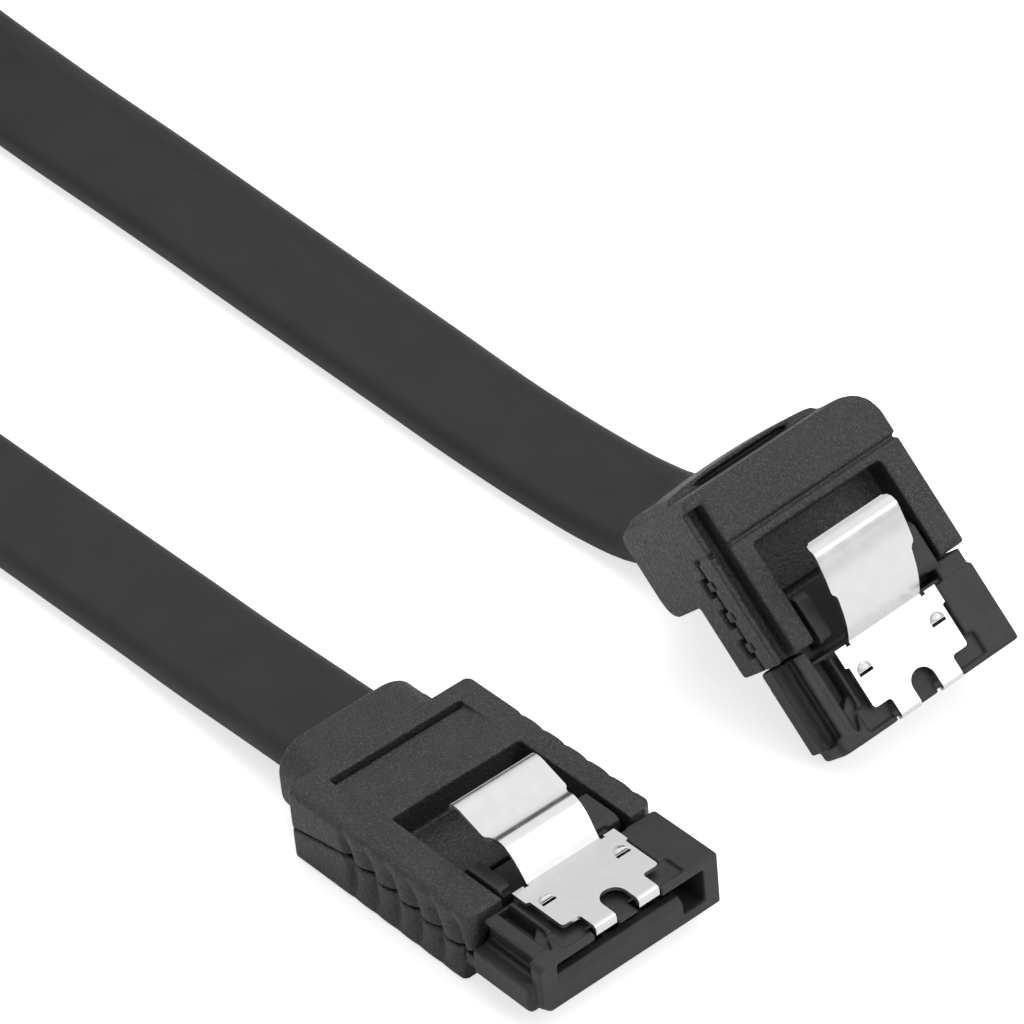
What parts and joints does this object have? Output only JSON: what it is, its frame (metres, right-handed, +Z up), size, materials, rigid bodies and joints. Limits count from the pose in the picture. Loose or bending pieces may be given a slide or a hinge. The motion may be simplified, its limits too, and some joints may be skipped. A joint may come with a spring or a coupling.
{
  "type": "data cable",
  "caption": "Flat data cable with latching plugs, one straight and one right-angled.",
  "frame": {"origin": "centre of the two plugs' box, seen from above, on the surface that the cable lies on", "axes": "+X is the way the straight plug mates, +Y runs across the two plugs from the straight one to the right-angle one, +Z is up"},
  "size_m": [0.2261, 0.0682, 0.0166],
  "materials": {
    "nose_plastic": "smooth black moulding",
    "hood_plastic": "black, spark-textured",
    "spring_steel": "bright spring steel",
    "contact_gold": "gold-plated",
    "jacket": "soft matte black jacket"
  },
  "bodies": {
    "cable": {"straight_housing": "nose_plastic", "straight_hood_upper": "hood_plastic", "straight_hood_lower": "hood_plastic", "angle_housing": "nose_plastic", "angle_hood_body": "hood_plastic", "angle_hood_cover": "hood_plastic", "lead_near": "jacket", "lead_loop": "jacket", "lead_far": "jacket", "straight_contact_1": "contact_gold", "straight_contact_2": "contact_gold", "straight_contact_3": "contact_gold", "straight_contact_4": "contact_gold", "straight_contact_5": "contact_gold", "straight_contact_6": "contact_gold", "straight_contact_7": "contact_gold", "angle_contact_1": "contact_gold", "angle_contact_2": "contact_gold", "angle_contact_3": "contact_gold", "angle_contact_4": "contact_gold", "angle_contact_5": "contact_gold", "angle_contact_6": "contact_gold", "angle_contact_7": "contact_gold"},
    "straight_latch": {"straight_latch": "spring_steel"},
    "angle_latch": {"angle_latch": "spring_steel"}
  },
  "joints": [
    {"name": "straight_latch_press", "type": "hinge", "parent": "cable", "child": "straight_latch", "pos_m": [0.01205, -0.01352, 0.00524], "axis": [0, -1, 0], "range_deg": [0, 3.5], "stiffness_Nm_per_rad": 0.05},
    {"name": "angle_latch_press", "type": "hinge", "parent": "cable", "child": "angle_latch", "pos_m": [0.00975, 0.01247, 0.00367], "axis": [-0.0778, -0.9886, -0.1288], "range_deg": [0, 3.5], "stiffness_Nm_per_rad": 0.05}
  ]
}
